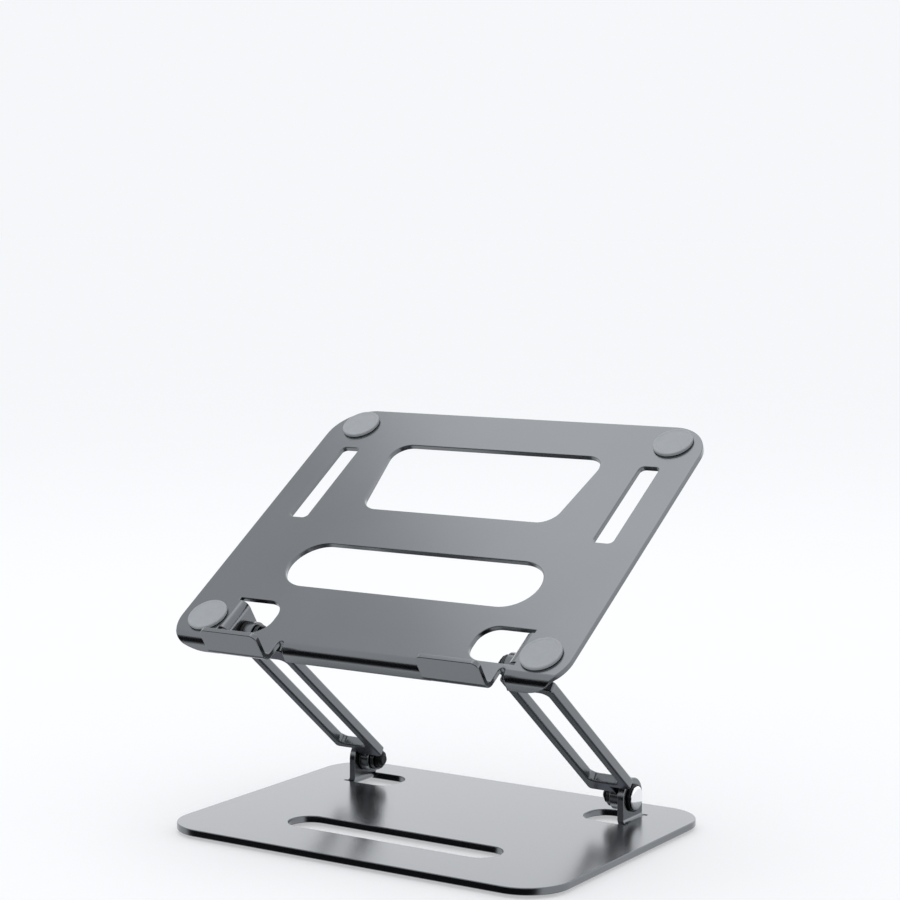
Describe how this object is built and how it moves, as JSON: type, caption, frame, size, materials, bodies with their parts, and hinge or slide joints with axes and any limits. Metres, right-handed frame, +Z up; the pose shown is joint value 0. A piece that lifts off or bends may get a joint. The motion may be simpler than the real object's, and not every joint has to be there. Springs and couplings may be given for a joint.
{
  "type": "laptop stand",
  "caption": "Folding desk stand: a base plate and a tilting slotted tray with front hooks, joined by two slotted arms on friction hinges.",
  "frame": {"origin": "middle of the footprint of the whole stand, on the surface it stands on", "axes": "+X to the right along the hinge axes, +Y to the back, +Z up"},
  "size_m": [0.257, 0.198, 0.2294],
  "materials": {
    "anodised_aluminium": "fine bead-blasted and anodised, space grey, satin",
    "black_steel": "blackened steel, satin",
    "bright_steel": "polished",
    "friction_fibre": "matt fibre",
    "spring_steel": "dark oiled spring steel",
    "silicone": "matt grey silicone",
    "rubber": "matt black rubber"
  },
  "bodies": {
    "base": {"base_plate": "anodised_aluminium", "foot_front_left": "rubber", "foot_front_right": "rubber", "foot_back_left": "rubber", "foot_back_right": "rubber", "hinge_bolt_base_left": "black_steel", "hinge_cap_base_left": "bright_steel", "friction_washer_base_left": "friction_fibre", "disc_springs_base_left": "spring_steel", "lock_nut_base_left": "black_steel", "hinge_bolt_base_right": "black_steel", "hinge_cap_base_right": "bright_steel", "friction_washer_base_right": "friction_fibre", "disc_springs_base_right": "spring_steel", "lock_nut_base_right": "black_steel"},
    "arms": {"arm_left": "anodised_aluminium", "arm_right": "anodised_aluminium"},
    "tray_bolts": {"hinge_bolt_tray_left": "black_steel", "hinge_cap_tray_left": "bright_steel", "friction_washer_tray_left": "friction_fibre", "disc_springs_tray_left": "spring_steel", "lock_nut_tray_left": "black_steel", "hinge_bolt_tray_right": "black_steel", "hinge_cap_tray_right": "bright_steel", "friction_washer_tray_right": "friction_fibre", "disc_springs_tray_right": "spring_steel", "lock_nut_tray_right": "black_steel"},
    "tray": {"laptop_tray": "anodised_aluminium", "pad_front_left": "silicone", "pad_front_right": "silicone", "pad_back_left": "silicone", "pad_back_right": "silicone", "hook_pad_left": "silicone", "hook_pad_right": "silicone"}
  },
  "joints": [
    {"name": "arm_lift", "type": "hinge", "parent": "base", "child": "arms", "pos_m": [0, 0.06298, 0.0186], "axis": [1, 0, 0], "range_deg": [-50, 38.9]},
    {"name": "tray_levelling", "type": "hinge", "parent": "arms", "child": "tray_bolts", "pos_m": [0, -0.05336, 0.11248], "axis": [1, 0, 0], "range_deg": [-38.9, 50]},
    {"name": "tray_tilt", "type": "hinge", "parent": "tray_bolts", "child": "tray", "pos_m": [0, -0.05336, 0.11248], "axis": [1, 0, 0], "range_deg": [-33, 18]}
  ],
  "couplings": [
    {"joint": "tray_levelling", "follows": "arm_lift", "ratio": -1}
  ]
}
